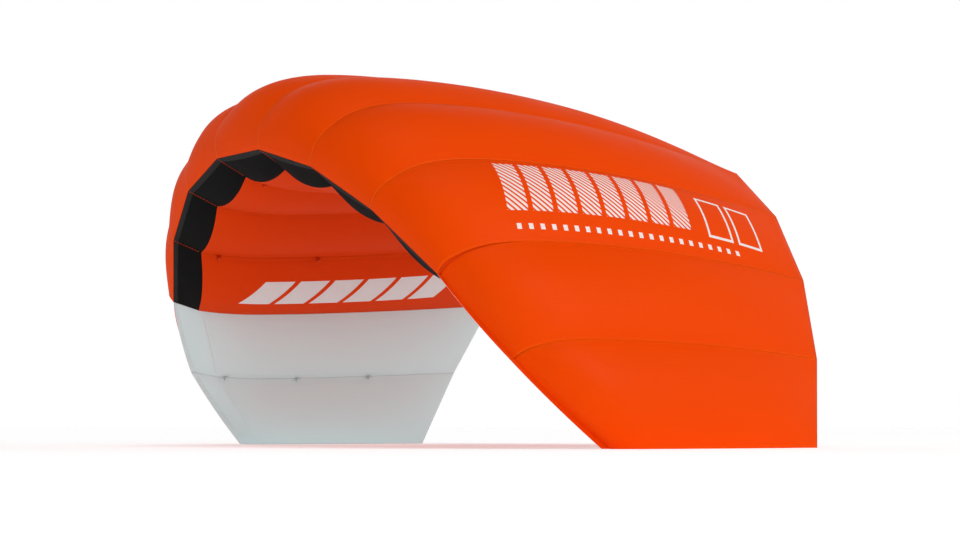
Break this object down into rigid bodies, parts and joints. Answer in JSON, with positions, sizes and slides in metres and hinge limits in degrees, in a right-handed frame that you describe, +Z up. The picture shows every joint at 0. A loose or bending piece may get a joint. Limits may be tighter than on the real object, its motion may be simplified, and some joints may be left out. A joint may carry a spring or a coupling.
{
  "type": "ram-air foil kite canopy",
  "caption": "Arched double-skin traction kite canopy with ribbed cells, billowed panels, screened leading-edge intakes and closed tapered tips.",
  "frame": {"origin": "centre of the bounding box's bottom face, level with the ground that both tips stand on", "axes": "+X along the span to the tip where cell 1 is, +Y from the leading edge to the trailing edge, +Z up"},
  "size_m": [1.6132, 1.1398, 0.8083],
  "materials": {
    "upper_cloth": "orange ripstop nylon, coated",
    "lower_cloth": "orange-red ripstop nylon, coated",
    "tip_cloth": "light grey ripstop nylon, coated",
    "rib_cloth": "orange-red firm-finish ripstop nylon",
    "screen": "black polyester mesh",
    "tape": "woven nylon tape"
  },
  "bodies": {
    "cell_01": {"rib_01": "rib_cloth", "upper_panel_01": "upper_cloth", "lower_panel_01": "tip_cloth", "nose_panel_01": "tip_cloth"},
    "cell_02": {"rib_02": "rib_cloth", "upper_panel_02": "upper_cloth", "lower_panel_02": "tip_cloth", "nose_panel_02": "tip_cloth", "bridle_tabs_02": "tape"},
    "cell_03": {"rib_03": "rib_cloth", "upper_panel_03": "upper_cloth", "lower_panel_03": "lower_cloth", "intake_screen_03": "screen"},
    "cell_04": {"rib_04": "rib_cloth", "upper_panel_04": "upper_cloth", "lower_panel_04": "lower_cloth", "intake_screen_04": "screen", "bridle_tabs_04": "tape"},
    "cell_05": {"rib_05": "rib_cloth", "upper_panel_05": "upper_cloth", "lower_panel_05": "lower_cloth", "intake_screen_05": "screen"},
    "cell_06": {"rib_06": "rib_cloth", "rib_07": "rib_cloth", "upper_panel_06": "upper_cloth", "lower_panel_06": "lower_cloth", "intake_screen_06": "screen", "bridle_tabs_06": "tape", "bridle_tabs_07": "tape"},
    "cell_07": {"rib_08": "rib_cloth", "upper_panel_07": "upper_cloth", "lower_panel_07": "lower_cloth", "intake_screen_07": "screen"},
    "cell_08": {"rib_09": "rib_cloth", "upper_panel_08": "upper_cloth", "lower_panel_08": "lower_cloth", "intake_screen_08": "screen", "bridle_tabs_09": "tape"},
    "cell_09": {"rib_10": "rib_cloth", "upper_panel_09": "upper_cloth", "lower_panel_09": "lower_cloth", "intake_screen_09": "screen"},
    "cell_10": {"rib_11": "rib_cloth", "upper_panel_10": "upper_cloth", "lower_panel_10": "tip_cloth", "nose_panel_10": "tip_cloth", "bridle_tabs_11": "tape"},
    "cell_11": {"rib_12": "rib_cloth", "upper_panel_11": "upper_cloth", "lower_panel_11": "tip_cloth", "nose_panel_11": "tip_cloth"}
  },
  "joints": [
    {"name": "right_arc", "type": "hinge", "parent": "cell_06", "child": "cell_05", "pos_m": [0.119, -0.22383, 0.78468], "axis": [0, -1, 0], "range_deg": [0, 15.88], "stiffness_Nm_per_rad": 160},
    {"name": "right_seam_2", "type": "hinge", "parent": "cell_05", "child": "cell_04", "pos_m": [0.34159, -0.21404, 0.70938], "axis": [0, -1, 0], "range_deg": [0, 14.64], "stiffness_Nm_per_rad": 160},
    {"name": "right_seam_3", "type": "hinge", "parent": "cell_04", "child": "cell_03", "pos_m": [0.52659, -0.19233, 0.57575], "axis": [0, -1, 0], "range_deg": [0, 13.4], "stiffness_Nm_per_rad": 160},
    {"name": "right_seam_4", "type": "hinge", "parent": "cell_03", "child": "cell_02", "pos_m": [0.66429, -0.15713, 0.40362], "axis": [0, -1, 0], "range_deg": [0, 12.16], "stiffness_Nm_per_rad": 160},
    {"name": "right_seam_5", "type": "hinge", "parent": "cell_02", "child": "cell_01", "pos_m": [0.75392, -0.10198, 0.21107], "axis": [0, -1, 0], "range_deg": [0, 10.92], "stiffness_Nm_per_rad": 160},
    {"name": "left_arc", "type": "hinge", "parent": "cell_06", "child": "cell_07", "pos_m": [-0.119, -0.22383, 0.78468], "axis": [0, 1, 0], "range_deg": [0, 15.88], "stiffness_Nm_per_rad": 160},
    {"name": "left_seam_2", "type": "hinge", "parent": "cell_07", "child": "cell_08", "pos_m": [-0.34159, -0.21404, 0.70938], "axis": [0, 1, 0], "range_deg": [0, 14.64], "stiffness_Nm_per_rad": 160},
    {"name": "left_seam_3", "type": "hinge", "parent": "cell_08", "child": "cell_09", "pos_m": [-0.52659, -0.19233, 0.57575], "axis": [0, 1, 0], "range_deg": [0, 13.4], "stiffness_Nm_per_rad": 160},
    {"name": "left_seam_4", "type": "hinge", "parent": "cell_09", "child": "cell_10", "pos_m": [-0.66429, -0.15713, 0.40362], "axis": [0, 1, 0], "range_deg": [0, 12.16], "stiffness_Nm_per_rad": 160},
    {"name": "left_seam_5", "type": "hinge", "parent": "cell_10", "child": "cell_11", "pos_m": [-0.75392, -0.10198, 0.21107], "axis": [0, 1, 0], "range_deg": [0, 10.92], "stiffness_Nm_per_rad": 160}
  ],
  "couplings": [
    {"joint": "right_seam_2", "follows": "right_arc", "ratio": 0.92191},
    {"joint": "right_seam_3", "follows": "right_arc", "ratio": 0.84383},
    {"joint": "right_seam_4", "follows": "right_arc", "ratio": 0.76574},
    {"joint": "right_seam_5", "follows": "right_arc", "ratio": 0.68766},
    {"joint": "left_seam_2", "follows": "left_arc", "ratio": 0.92191},
    {"joint": "left_seam_3", "follows": "left_arc", "ratio": 0.84383},
    {"joint": "left_seam_4", "follows": "left_arc", "ratio": 0.76574},
    {"joint": "left_seam_5", "follows": "left_arc", "ratio": 0.68766}
  ]
}
